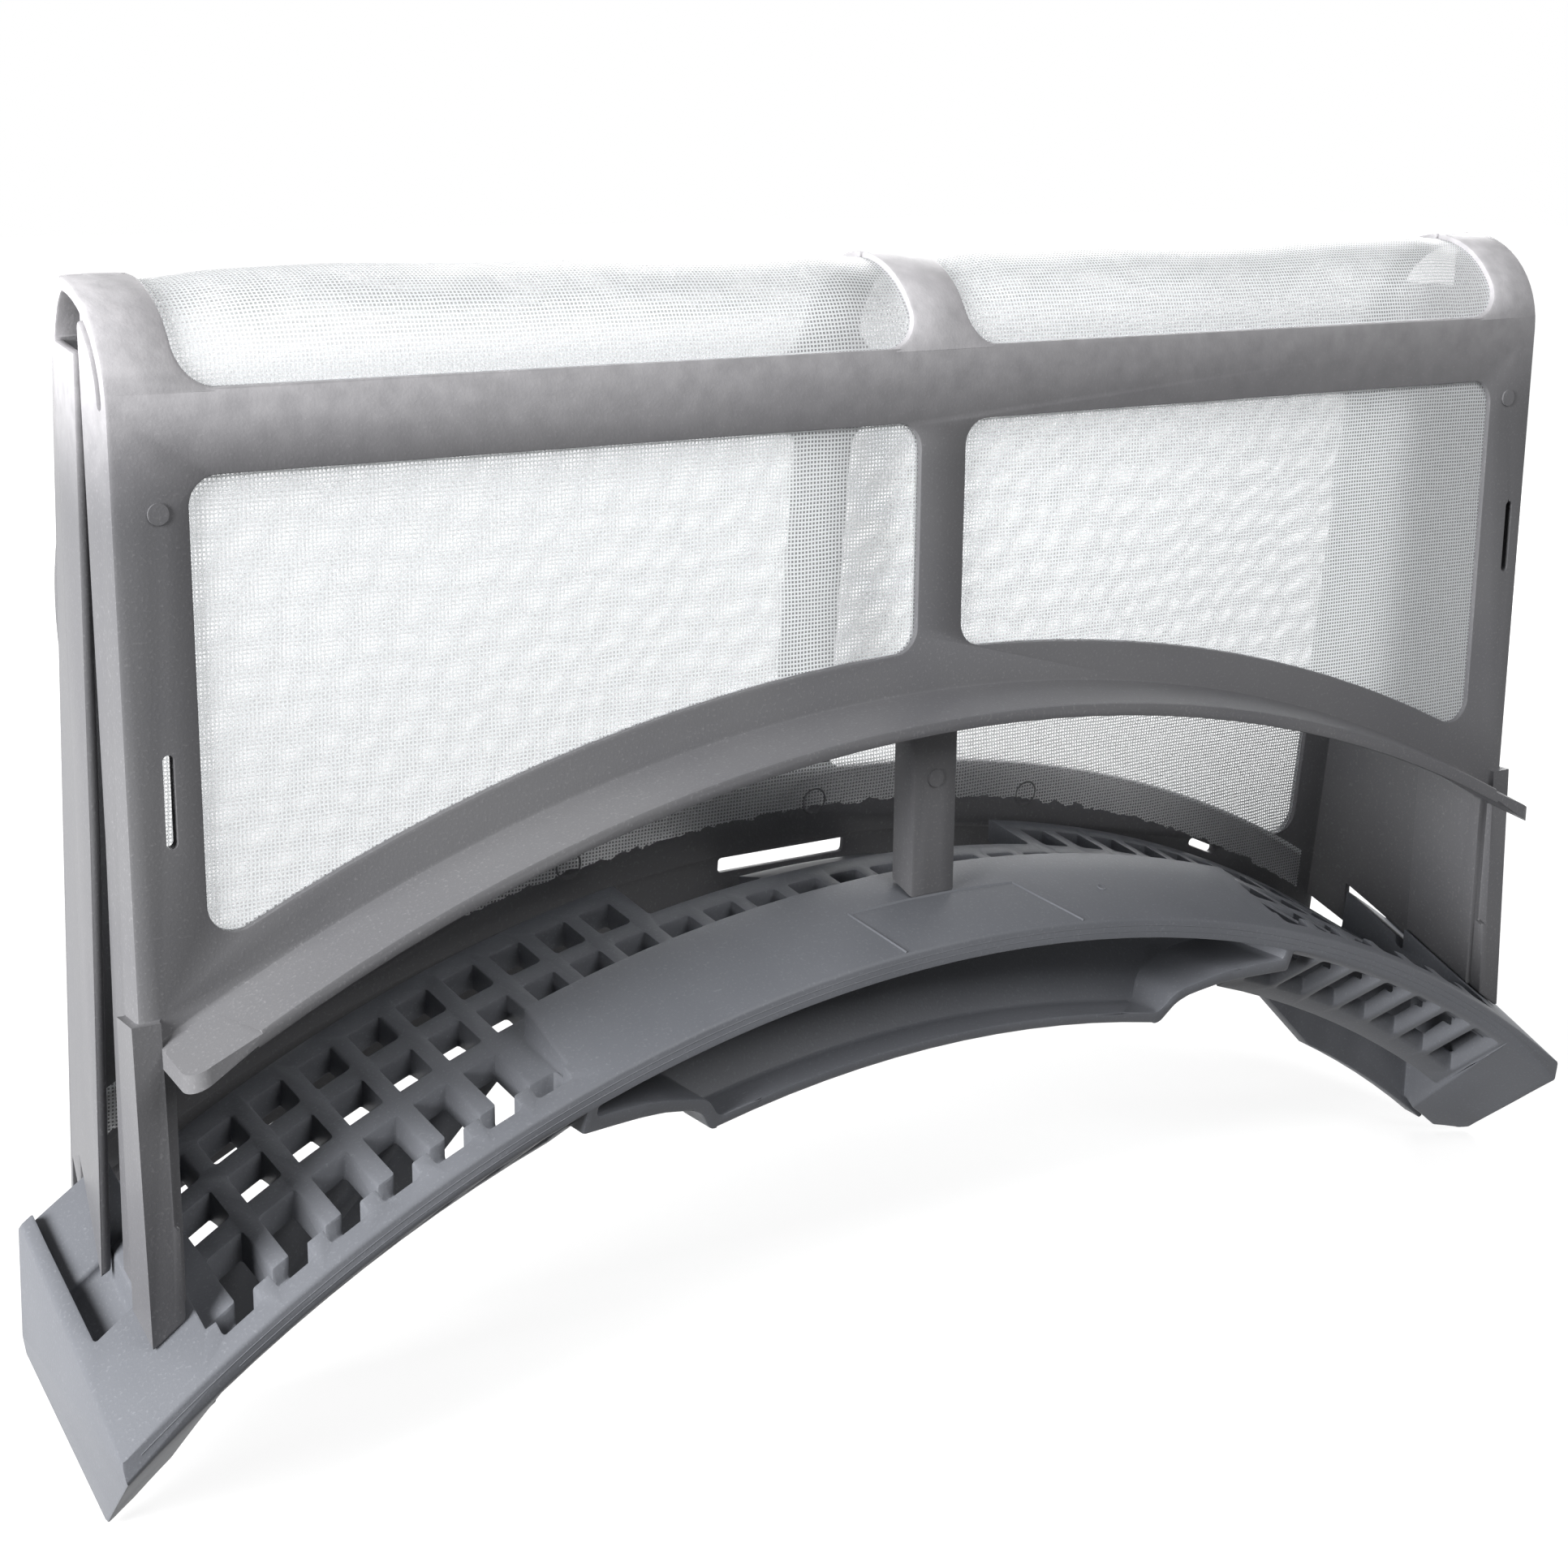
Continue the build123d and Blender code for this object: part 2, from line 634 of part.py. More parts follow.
with BuildPart() as rear_leaf_frame:
    extrude(leaf_profile(0, sheet, True), amount=leaf_half_width)
    with BuildSketch(rear_plane):
        top = on_rear(rear_window_top_z)
        radius = rear_window_radius / cos(tilt)
        add(window_outline(rear_centre_bar / 2, rear_window_outer_x, top, radius, on_rear(arch_z)))
    extrude(amount=2 * sheet, both=True, mode=Mode.SUBTRACT)
    add(top_window(rear_bar_z), mode=Mode.SUBTRACT)
    with BuildSketch(rear_plane):
        with Locations((0, on_rear(arch_z))):
            Circle(skirt_radius / cos(tilt))
    extrude(amount=2 * sheet, both=True, mode=Mode.SUBTRACT)
    with Locations((0, 0, skirt_low_z - reach / 2)):
        Box(2 * reach, reach, reach, mode=Mode.SUBTRACT)
    with BuildSketch(rear_plane.offset(sheet - skirt_step)):
        with Locations((0, on_rear(arch_z))):
            Circle(band_radius / cos(tilt))
    extrude(amount=2 * sheet, mode=Mode.SUBTRACT)
    with BuildSketch(rear_plane):
        with Locations((drain_x, on_rear(arch_height(drain_radius, drain_x)))):
            SlotOverall(drain_length, drain_width, rotation=-degrees(asin(drain_x / drain_radius)))
    extrude(amount=2 * sheet, both=True, mode=Mode.SUBTRACT)
    with BuildSketch(lap_plane):
        Polygon(*trim_rear, *trim_front, align=None)
    extrude(amount=reach, both=True, mode=Mode.INTERSECT)
    add(lap_side.part)
    with BuildSketch(Plane.YZ.offset(bump_inner_x)):
        bump_mid_z = (bump_low_z + bump_high_z) / 2
        bump_low = (rear_face_y(bump_low_z) - bump_root, bump_low_z)
        bump_high = (rear_face_y(bump_high_z) - bump_root, bump_high_z)
        with BuildLine():
            ThreePointArc(bump_low, (rear_face_y(bump_mid_z) + bump_height, bump_mid_z), bump_high)
            Line(bump_high, bump_low)
        make_face()
    extrude(amount=rear_half_width - bump_edge - bump_inner_x)
    mirror(about=Plane.YZ)
    with BuildSketch(rear_plane):
        with Locations((latch_slot_x, on_rear(arch_height(latch_slot_radius, 0)))):
            Rectangle(latch_slot_width, latch_slot_height)
    extrude(amount=2 * sheet, both=True, mode=Mode.SUBTRACT)
    with Locations(hinge_slit):
        Box(reach, hinge_gap, 2 * sheet + hinge_gap, mode=Mode.SUBTRACT)
rear_leaf_frame.part.label = "rear_leaf_frame"

mesh_inset = sheet + mesh_gap
mesh_slit = 2 * (mesh_inset + mesh_sheet) + hinge_gap

with BuildPart() as front_mesh:
    extrude(leaf_profile(mesh_inset, mesh_sheet, False), amount=mesh_half_width, both=True)
    with BuildSketch(Plane.XZ):
        with Locations((0, arch_z)):
            Circle(front_mesh_radius)
    extrude(amount=reach, both=True, mode=Mode.SUBTRACT)
    with Locations(hinge_slit):
        Box(reach, hinge_gap, mesh_slit, mode=Mode.SUBTRACT)
front_mesh.part.label = "front_mesh"

with BuildPart() as rear_mesh:
    extrude(leaf_profile(mesh_inset, mesh_sheet, True), amount=mesh_half_width, both=True)
    with BuildSketch(rear_plane):
        with Locations((0, on_rear(arch_z))):
            Circle(rear_mesh_radius / cos(tilt))
    extrude(amount=4 * sheet, both=True, mode=Mode.SUBTRACT)
    with Locations(hinge_slit):
        Box(reach, hinge_gap, mesh_slit, mode=Mode.SUBTRACT)
rear_mesh.part.label = "rear_mesh"

os.makedirs("parts", exist_ok=True)
export_step(grille_base.part, "parts/grille_base.step")
export_step(front_leaf_frame.part, "parts/front_leaf_frame.step")
export_step(rear_leaf_frame.part, "parts/rear_leaf_frame.step")
export_step(front_mesh.part, "parts/front_mesh.step")
export_step(rear_mesh.part, "parts/rear_mesh.step")
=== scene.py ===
# %% [markdown]
# A lint filter for a tumble dryer: a woven screen, folded over like a sandwich bag, is held by a
# grey plastic frame that stands on an arched grille with a hand grip. The solid shapes come from the
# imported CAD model. This lesson rounds their edges, weaves the screen, gives every surface its finish
# and sets up a small white studio. Blender works in metres, and x runs along the grip.

from math import cos, pi, radians, sin, sqrt

import bpy
from mathutils import Matrix, Vector
from mathutils.geometry import intersect_point_line


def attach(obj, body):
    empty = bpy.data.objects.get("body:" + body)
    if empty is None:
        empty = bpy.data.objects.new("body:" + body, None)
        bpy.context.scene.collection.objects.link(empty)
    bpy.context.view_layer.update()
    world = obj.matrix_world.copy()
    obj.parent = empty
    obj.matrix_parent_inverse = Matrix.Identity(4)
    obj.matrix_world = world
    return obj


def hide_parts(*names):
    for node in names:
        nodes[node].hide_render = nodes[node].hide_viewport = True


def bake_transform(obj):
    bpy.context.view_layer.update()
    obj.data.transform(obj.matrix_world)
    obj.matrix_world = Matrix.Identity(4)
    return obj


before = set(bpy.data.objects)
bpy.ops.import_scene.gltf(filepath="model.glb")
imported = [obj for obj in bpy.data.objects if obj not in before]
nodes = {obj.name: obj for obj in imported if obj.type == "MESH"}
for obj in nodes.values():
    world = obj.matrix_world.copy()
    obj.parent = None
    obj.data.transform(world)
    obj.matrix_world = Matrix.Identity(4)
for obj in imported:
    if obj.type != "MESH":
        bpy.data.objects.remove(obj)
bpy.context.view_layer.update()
bpy.ops.object.select_all(action="DESELECT")
scene = bpy.context.scene
print("nodes:", sorted(nodes))

# %% [markdown]
# Nearly everything here follows one arch about an axis below the part, and one fold at the top.
# These few sizes place every added detail, so they are written once, in millimetres. A length is
# multiplied by MM where Blender needs it in metres.

# %% Sizes that the details share
MM = 0.001
ARCH_Z = -156.9
FOLD_Y, FOLD_Z, FOLD_R = -1.1, 153.2, 15.6
LEAF_Y = -16.7
SHEET = 1.8
TILT = radians(6.0)
REAR_TOP_Y = FOLD_Y + FOLD_R * cos(TILT)
REAR_TOP_Z = FOLD_Z + FOLD_R * sin(TILT)


def arch_height(radius, x):
    """Height of an arch of this radius at one place along the part, in millimetres."""
    return ARCH_Z + sqrt(radius**2 - x**2)


def rear_face_y(z):
    """Depth of the rear leaf's outer face at a height, in millimetres."""
    return REAR_TOP_Y + (REAR_TOP_Z - z) * sin(TILT) / cos(TILT)


print("top of the arch:", round(arch_height(222, 0), 1), "mm, top of the fold:", FOLD_Z + FOLD_R, "mm")

# %% [markdown]
# Shader trees are easier to read when a node is added in one line. One function adds a node, sets its
# properties, and fills its sockets with numbers, colours or links from other nodes. Another turns an
# sRGB hex colour, as a paint program shows it, into the linear numbers that a shader works with.

# %% Helpers for materials
def linear(hex_code):
    """Linear RGBA of an sRGB hex colour."""
    parts = [int(hex_code[i:i + 2], 16) / 255 for i in (1, 3, 5)]
    return (*[p / 12.92 if p <= 0.04045 else ((p + 0.055) / 1.055) ** 2.4 for p in parts], 1.0)


def add_node(tree, kind, inputs=None, **settings):
    """Adds a node with its settings, and fills its sockets with values or links."""
    made = tree.nodes.new(kind)
    for name, value in settings.items():
        setattr(made, name, value)
    for name, value in (inputs or {}).items():
        if isinstance(value, bpy.types.NodeSocket):
            tree.links.new(value, made.inputs[name])
        else:
            made.inputs[name].default_value = value
    return made


def new_material(name):
    """An empty node material with its output node."""
    material = bpy.data.materials.new(name)
    material.use_nodes = True
    material.node_tree.nodes.clear()
    output = material.node_tree.nodes.new("ShaderNodeOutputMaterial")
    return material, material.node_tree, output


print("mid grey #7A7A7C is", [round(c, 3) for c in linear("#7A7A7C")[:3]])

# %% [markdown]
# Polypropylene turns white where it is bent again and again, because tiny voids open in it. On this
# part that happens at the straps over the fold, and it fades out down the frame. The height above the
# floor therefore steers a mix towards a paler grey, and a soft noise keeps it from looking painted on.
# This paler top covers the whole top of the frame, so it is partly that whitening and partly painted
# light from above.

# %% Finish: plastic that whitens towards the fold, with painted light from above
CREASE = 3.0
CREASE_RELIEF = 2.0


def whitened_and_top_lit(tree, place, tint, relief, pale, low, high):
    """Colour and relief of a plastic that whitens from one height to another, in millimetres; the pale
    colour is partly painted light from above.
    """
    parts = add_node(tree, "ShaderNodeSeparateXYZ", {"Vector": place})
    # Painted light: this height ramp pales the top of the frame, partly as whitening and partly as light
    # from above.
    near_fold = add_node(
        tree, "ShaderNodeMapRange",
        {"Value": parts.outputs["Z"], "From Min": low * MM, "From Max": high * MM},
        interpolation_type="SMOOTHSTEP").outputs["Result"]
    crease = add_node(
        tree, "ShaderNodeTexNoise",
        {"Vector": place, "Scale": 1 / (CREASE * MM), "Detail": 4.0}).outputs["Fac"]
    blush = add_node(
        tree, "ShaderNodeMapRange",
        {"Value": crease, "From Min": 0.3, "From Max": 0.7, "To Min": 0.62, "To Max": 0.9})
    amount = add_node(
        tree, "ShaderNodeMath", {0: blush.outputs["Result"], 1: near_fold}, operation="MULTIPLY")
    pale_and_lit = add_node(
        tree, "ShaderNodeMix",
        {"Factor": amount.outputs["Value"], "A": tint, "B": linear(pale)}, data_type="RGBA")
    ripple = add_node(tree, "ShaderNodeMath", {0: crease, 1: near_fold}, operation="MULTIPLY")
    height = add_node(
        tree, "ShaderNodeMath",
        {0: ripple.outputs["Value"], 1: CREASE_RELIEF, 2: relief}, operation="MULTIPLY_ADD")
    return pale_and_lit.outputs["Result"], height.outputs["Value"]


print("bending marks are about", CREASE, "mm wide")

# %% [markdown]
# The frame and the base are grey polypropylene, injection moulded in spark-eroded tools. The eye sees
# a satin skin with a fine grain, slow changes of grey where the melt flowed, and a dust of paler
# specks. One function makes both greys, because the two mouldings differ only in tint and in the
# frame's paler top, which is whitened straps and painted light from above. The grain of a real tool is
# near 0.1 mm; it is drawn at 0.45 mm so that it shows at this picture size.

# %% Finish: moulded polypropylene
FLOW_MARK = 40.0
GRAIN = 0.45
GRAIN_DEPTH = 0.12


def moulded_polypropylene(name, body, deep, pale, roughness, whitened_and_lit_above=None):
    """Satin grey moulding with grain, flow marks, pale specks and, above a height, bending marks with
    painted light from above.
    """
    material, tree, output = new_material(name)
    place = add_node(tree, "ShaderNodeTexCoord").outputs["Object"]
    flow = add_node(
        tree, "ShaderNodeTexNoise",
        {"Vector": place, "Scale": 1 / (FLOW_MARK * MM), "Detail": 3.0}).outputs["Fac"]
    drift = add_node(tree, "ShaderNodeMapRange", {"Value": flow, "From Min": 0.35, "From Max": 0.65})
    tone = add_node(
        tree, "ShaderNodeMix",
        {"Factor": drift.outputs["Result"], "A": linear(deep), "B": linear(body)}, data_type="RGBA")
    relief = add_node(
        tree, "ShaderNodeTexNoise",
        {"Vector": place, "Scale": 1 / (GRAIN * MM), "Detail": 2.0}).outputs["Fac"]
    speck = add_node(
        tree, "ShaderNodeMapRange",
        {"Value": relief, "From Min": 0.58, "From Max": 0.85, "To Max": 0.16})
    tint = add_node(
        tree, "ShaderNodeMix",
        {"Factor": speck.outputs["Result"], "A": tone.outputs["Result"], "B": linear(pale)},
        data_type="RGBA").outputs["Result"]
    if whitened_and_lit_above is not None:
        tint, relief = whitened_and_top_lit(tree, place, tint, relief, pale, *whitened_and_lit_above)
    gloss = add_node(
        tree, "ShaderNodeMapRange",
        {"Value": flow, "To Min": roughness - 0.06, "To Max": roughness + 0.08})
    bump = add_node(
        tree, "ShaderNodeBump", {"Height": relief, "Strength": 0.22, "Distance": GRAIN_DEPTH * MM})
    skin = add_node(
        tree, "ShaderNodeBsdfPrincipled",
        {"Base Color": tint, "Roughness": gloss.outputs["Result"], "IOR": 1.42,
         "Specular IOR Level": 0.25, "Normal": bump.outputs["Normal"]})
    tree.links.new(skin.outputs["BSDF"], output.inputs["Surface"])
    return material


# From 137 mm up to the fold the frame turns paler: whitened straps and painted light from above.
frame_grey = moulded_polypropylene(
    "grey_polypropylene_frame", "#666668", "#5E5E61", "#C6C4C7", 0.45, whitened_and_lit_above=(137.0, 168.0))
base_grey = moulded_polypropylene("grey_polypropylene_base", "#66686D", "#5E6065", "#B2B4BA", 0.45)
print("plastics:", frame_grey.name, base_grey.name)

# %% [markdown]
# The screen is white polyester monofilament in a plain square weave. Near 0.6 mm from thread to
# thread, about a third of its area is open, so it looks white against a bright background and grey
# against a dark one. Drawing a hundred thousand holes as faces would be far too heavy. The weave is
# therefore a pattern on the sheet's own UV map, which counts real metres along the cloth, and its
# holes are cut with the shader's alpha. A little haze stays in each hole, as of fluff.

# %% The weave: where a thread runs and which one lies on top
THREAD_PITCH = 0.6
THREAD_SHARE = 0.46
THREAD_EDGE = 0.05
WANDER_SIZE, WANDER = 9.0, 0.5
HOLE_HAZE = 0.28


def plain_weave(tree, cloth):
    """Cover of the threads, and their height with every second crossing on top."""
    drift = add_node(
        tree, "ShaderNodeTexNoise", {"Vector": cloth, "Scale": 1 / (WANDER_SIZE * MM), "Detail": 1.0})
    wander = add_node(
        tree, "ShaderNodeVectorMath",
        {0: drift.outputs["Color"], 1: (WANDER * MM,) * 3, 2: cloth}, operation="MULTIPLY_ADD")
    count = add_node(
        tree, "ShaderNodeVectorMath",
        {0: wander.outputs["Vector"], 1: (1 / (THREAD_PITCH * MM),) * 3},
        operation="MULTIPLY").outputs["Vector"]
    number = add_node(tree, "ShaderNodeSeparateXYZ", {"Vector": count})
    ridges = []
    for axis in ("X", "Y"):
        wave = add_node(
            tree, "ShaderNodeMath", {0: number.outputs[axis], 1: 0.5}, operation="PINGPONG")
        ridge = add_node(
            tree, "ShaderNodeMapRange",
            {"Value": wave.outputs["Value"], "From Min": THREAD_SHARE / 2 - THREAD_EDGE,
             "From Max": THREAD_SHARE / 2 + THREAD_EDGE, "To Min": 1.0, "To Max": 0.0})
        ridges.append(ridge.outputs["Result"])
    threads = add_node(
        tree, "ShaderNodeMath", {0: ridges[0], 1: ridges[1]}, operation="MAXIMUM").outputs["Value"]
    cover = add_node(tree, "ShaderNodeMath", {0: threads, 1: HOLE_HAZE}, operation="MAXIMUM")
    over = add_node(tree, "ShaderNodeTexChecker", {"Vector": count, "Scale": 1.0})
    height = add_node(
        tree, "ShaderNodeMix",
        {"Factor": over.outputs["Fac"], "A": ridges[0], "B": ridges[1]}, data_type="FLOAT")
    return cover.outputs["Value"], height.outputs["Result"]


print("weave:", THREAD_PITCH, "mm between threads")

# %% [markdown]
# Along the rear arch the plastic was pressed into the cloth, so its hem is grey there, and the cut edge
# is frayed. Two attributes of the mesh, the distances to the nearest cut edge and to the rear edge, say
# where. The yarn is clear, so it lets half of the light through.

# %% Finish: woven polyester screen
HEM_DEPTH, HEM_FADE = 7.0, 0.6
FRAY_SIZE, FRAY_REACH, FRAY_START = 2.5, 2.6, -0.7
THREAD_HEIGHT = 0.12


def woven_screen(name, thread, soaked):
    """White square weave with open holes; its rear hem is soaked in plastic and has a frayed edge."""
    material, tree, output = new_material(name)
    cloth = add_node(tree, "ShaderNodeUVMap", uv_map="cloth").outputs["UV"]
    threads, height = plain_weave(tree, cloth)
    bump = add_node(
        tree, "ShaderNodeBump", {"Height": height, "Strength": 0.3, "Distance": THREAD_HEIGHT * MM})
    border = add_node(tree, "ShaderNodeAttribute", attribute_name="border").outputs["Fac"]
    rear_edge = add_node(tree, "ShaderNodeAttribute", attribute_name="rear_edge").outputs["Fac"]
    fray = add_node(
        tree, "ShaderNodeTexNoise", {"Vector": cloth, "Scale": 1 / (FRAY_SIZE * MM), "Detail": 2.0})
    ragged = add_node(
        tree, "ShaderNodeMath",
        {0: fray.outputs["Fac"], 1: FRAY_REACH * MM, 2: FRAY_START * MM}, operation="MULTIPLY_ADD")
    inside = add_node(
        tree, "ShaderNodeMath", {0: border, 1: ragged.outputs["Value"]}, operation="GREATER_THAN")
    cover = add_node(
        tree, "ShaderNodeMath", {0: threads, 1: inside.outputs["Value"]}, operation="MULTIPLY")
    clean = add_node(
        tree, "ShaderNodeMapRange",
        {"Value": rear_edge, "From Min": HEM_DEPTH * MM, "From Max": (HEM_DEPTH + HEM_FADE) * MM})
    tint = add_node(
        tree, "ShaderNodeMix",
        {"Factor": clean.outputs["Result"], "A": linear(soaked), "B": linear(thread)}, data_type="RGBA")
    yarn = add_node(
        tree, "ShaderNodeBsdfPrincipled",
        {"Base Color": tint.outputs["Result"], "Roughness": 0.45, "IOR": 1.57,
         "Alpha": cover.outputs["Value"], "Transmission Weight": 0.5, "Normal": bump.outputs["Normal"]})
    tree.links.new(yarn.outputs["BSDF"], output.inputs["Surface"])
    return material


screen_white = woven_screen("white_polyester_screen", "#F6F9FB", "#A4A5A8")
print("screen:", screen_white.name, "with a hem", HEM_DEPTH, "mm deep")

# %% [markdown]
# A moulding never has a knife edge: the tool's corners are rounded by the cutter, and that thin round
# is what catches the light. The CAD solids have sharp edges, so a Bevel modifier rounds them. Its
# width is the same everywhere, which would tear a narrow face, so each edge first gets a bevel weight:
# the share of the full round for which the faces beside it have room.

# %% How much round fits at each sharp edge
ROOM_SHARE = 0.45
NO_LIMIT = 1.0
RUNS_ON = 0.85
LEAST_SLANT = 0.02


def gap_between(a, b, c, d):
    """Least distance between the edge from a to b and the edge from c to d."""
    gaps = []
    for point, start, end in ((a, c, d), (b, c, d), (c, a, b), (d, a, b)):
        foot, t = intersect_point_line(point, start, end)
        foot = start if t < 0 else end if t > 1 else foot
        gaps.append((point - foot).length)
    return min(gaps)


def corner_gap(a, b, c, d, other_is_sharp):
    """Free width beside the edge from a to b along the edge from c to d, which shares a corner."""
    along = abs((b - a).normalized().dot((d - c).normalized()))
    if other_is_sharp:
        return NO_LIMIT if along > RUNS_ON else (d - c).length
    return (d - c).length * max(LEAST_SLANT, sqrt(max(0.0, 1 - along**2)))


def sharp_edges(mesh, angle):
    """Edges at which two faces meet at more than an angle."""
    sides = {}
    for face in mesh.polygons:
        for key in face.edge_keys:
            sides.setdefault(key, []).append(face.normal)
    return {key for key, pair in sides.items() if len(pair) == 2 and pair[0].angle(pair[1]) > angle}


def round_rooms(mesh, sharp):
    """For each sharp edge, the widest round that its faces have room for."""
    rooms = dict.fromkeys(sharp, NO_LIMIT)
    for face in mesh.polygons:
        for key in set(face.edge_keys) & sharp:
            a, b = (mesh.vertices[i].co for i in key)
            for other in face.edge_keys:
                if other == key:
                    continue
                c, d = (mesh.vertices[i].co for i in other)
                touches = set(key) & set(other)
                gap = corner_gap(a, b, c, d, other in sharp) if touches else gap_between(a, b, c, d)
                rooms[key] = min(rooms[key], ROOM_SHARE * gap)
    return rooms


print("an edge is rounded by at most", ROOM_SHARE, "of the free width beside it")

# %% [markdown]
# Each plastic part is copied, its loose triangles are merged into whole faces, the weights are set and
# the Bevel modifier is applied. The copy then stands in for its CAD node, which stays as it is for the
# physics. On the thin front leaf a very small round does more harm than good, so there is a least one.

# %% Round the edges of the three mouldings
MERGE_DISTANCE = 0.00001
FLAT_ANGLE, SHARP_ANGLE, SMOOTH_ANGLE = radians(0.2), radians(32), radians(35)
LIP_END_X, LIP_ROOT_Y, LIP_LOW_Z, LIP_HIGH_Z = 119.0, LEAF_Y - 0.2, 55.0, 90.0


def at_lip_end(point):
    """True at the two ends of the front leaf's lip, whose small corners are round already."""
    on_lip = point.y < LIP_ROOT_Y * MM and LIP_LOW_Z * MM < point.z < LIP_HIGH_Z * MM
    return on_lip and abs(point.x) > LIP_END_X * MM


def weigh_edges(mesh, width, least):
    """Gives each edge its share of the full round, in the attribute that the Bevel modifier reads."""
    rooms = round_rooms(mesh, sharp_edges(mesh, SHARP_ANGLE))
    weight = mesh.attributes.new("bevel_weight_edge", "FLOAT", "EDGE")
    for edge in mesh.edges:
        share = min(1.0, rooms.get(edge.key, 0.0) / width)
        plain = share < least or any(at_lip_end(mesh.vertices[i].co) for i in edge.vertices)
        weight.data[edge.index].value = 0.0 if plain else share


def moulded_copy(node, name, edge_mm, material, body, slide, least):
    """A copy of a CAD node with rounded edges, which replaces the node in the picture."""
    bpy.ops.object.select_all(action="DESELECT")
    piece = nodes[node].copy()
    piece.data = nodes[node].data.copy()
    for key in list(piece.keys()):
        if key.startswith("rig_"):
            del piece[key]
    piece.parent = None
    piece.name = piece.data.name = name
    scene.collection.objects.link(piece)
    bpy.context.view_layer.objects.active = piece
    piece.select_set(True)
    bpy.ops.object.mode_set(mode="EDIT")
    bpy.ops.mesh.select_all(action="SELECT")
    bpy.ops.mesh.remove_doubles(threshold=MERGE_DISTANCE)
    bpy.ops.mesh.customdata_custom_splitnormals_clear()
    bpy.ops.mesh.dissolve_limited(angle_limit=FLAT_ANGLE)
    bpy.ops.object.mode_set(mode="OBJECT")
    weigh_edges(piece.data, edge_mm * MM, least)
    rounding = piece.modifiers.new("rounded_edges", "BEVEL")
    rounding.width = edge_mm * MM
    rounding.segments = 2
    rounding.limit_method = "WEIGHT"
    rounding.use_clamp_overlap = False
    rounding.loop_slide = slide
    rounding.miter_outer = "MITER_ARC"
    bpy.ops.object.modifier_apply(modifier="rounded_edges")
    piece.data.materials.clear()
    piece.data.materials.append(material)
    bpy.ops.object.shade_smooth_by_angle(angle=SMOOTH_ANGLE)
    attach(piece, body)
    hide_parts(node)
    print(name, "has", len(piece.data.polygons), "faces")


moulded_copy("grille_base", "arched_grille_base", 0.5, base_grey, "filter",
             slide=False, least=0.0)
moulded_copy("front_leaf_frame", "front_leaf", 0.55, frame_grey, "filter",
             slide=False, least=0.3)
moulded_copy("rear_leaf_frame", "rear_leaf", 0.45, frame_grey, "rear_leaf",
             slide=True, least=0.0)

# %% [markdown]
# The screen is one piece of cloth: it runs up behind the front leaf, over the fold and down inside the
# rear leaf. Its path is a straight line, an arc and another straight line, so a length along the cloth
# gives a depth and a height. Its lower edges follow the two arches.

# %% The screen's path from the front arch over the fold to the rear arch
SCREEN_INSET = SHEET / 2
SCREEN_HALF = 120.8
FRONT_EDGE_R, REAR_EDGE_R = 262.0, 232.0
TURN_R = FOLD_R - SCREEN_INSET
FRONT_TURN = TURN_R * pi / 2
REAR_TURN = TURN_R * (pi / 2 - TILT)


def screen_point(s, proud):
    """(depth, height) of the cloth at a length s from the fold's top, stood proud of its path."""
    if s < -FRONT_TURN:
        return LEAF_Y + SCREEN_INSET - proud, FOLD_Z + (s + FRONT_TURN)
    if s <= REAR_TURN:
        angle = s / TURN_R
        return FOLD_Y + (TURN_R + proud) * sin(angle), FOLD_Z + (TURN_R + proud) * cos(angle)
    down = s - REAR_TURN
    start_y = FOLD_Y + (TURN_R + proud) * cos(TILT)
    start_z = FOLD_Z + (TURN_R + proud) * sin(TILT)
    return start_y + down * sin(TILT), start_z - down * cos(TILT)


def screen_reach(x):
    """Lengths of the cloth at one place along the part, to the front and to the rear edge."""
    front = FRONT_TURN + FOLD_Z - arch_height(FRONT_EDGE_R, x)
    rear = REAR_TURN + (FOLD_Z + TURN_R * sin(TILT) - arch_height(REAR_EDGE_R, x)) / cos(TILT)
    return front, rear


print("cloth at the middle:", [round(v, 1) for v in screen_reach(0)], "mm to its front and rear edges")

# %% [markdown]
# Stretched cloth is never quite even. Between the straps it is free and stands a little prouder, in the
# windows it has some slack, and along the rear hem it is pressed into the plastic. Each of these fades
# in and out over a stretch of the cloth, given by four places: zero, full, full and zero.

# %% How far the cloth stands out of its path
CREST, CREST_X, CREST_S = 0.9, (5.2, 17.0, 108.0, 119.4), (-19.0, -9.0, 10.0, 20.0)
SLACK, SLACK_X, SLACK_S = 0.35, (6.0, 30.0, 96.0, 118.0), (30.0, 50.0, 60.0, 90.0)
HEM_INSET = SHEET + 0.12


def ease(value, low, high):
    """Smooth step from 0 at low to 1 at high."""
    t = min(1.0, max(0.0, (value - low) / (high - low)))
    return t * t * (3 - 2 * t)


def between(value, low, rise, fall, high):
    """1 from rise to fall, and a smooth step to 0 at low and at high."""
    return ease(value, low, rise) * ease(-value, -high, -fall)


def screen_proud(x, s):
    """How far the cloth stands out of its path, in millimetres; at the rear hem it lies deeper."""
    wander = 0.25 * sin(x / 17.0 + 0.6) + 0.2 * sin(x / 7.3 + 1.9)
    crest = between(abs(x), *CREST_X) * between(s, *CREST_S) * (CREST + wander)
    slack = SLACK * sin(x / 21.0 + s / 14.0) * between(abs(x), *SLACK_X) * between(abs(s), *SLACK_S)
    depth = screen_reach(x)[1] - s
    hem = ease(-depth, -2 * HEM_DEPTH, -HEM_DEPTH)
    return crest - slack - hem * (HEM_INSET - SCREEN_INSET)


print("cloth over the fold stands", round(screen_proud(60.0, 0.0), 2), "mm proud")

# %% [markdown]
# A flat grid is added with enough columns and rows, and each of its points is then carried to its place
# on the path. The UV map keeps each point's place on the flat cloth, so the weave is neither stretched
# nor bent, and two attributes keep its distance to the cut edges. The cloth follows both leaves.

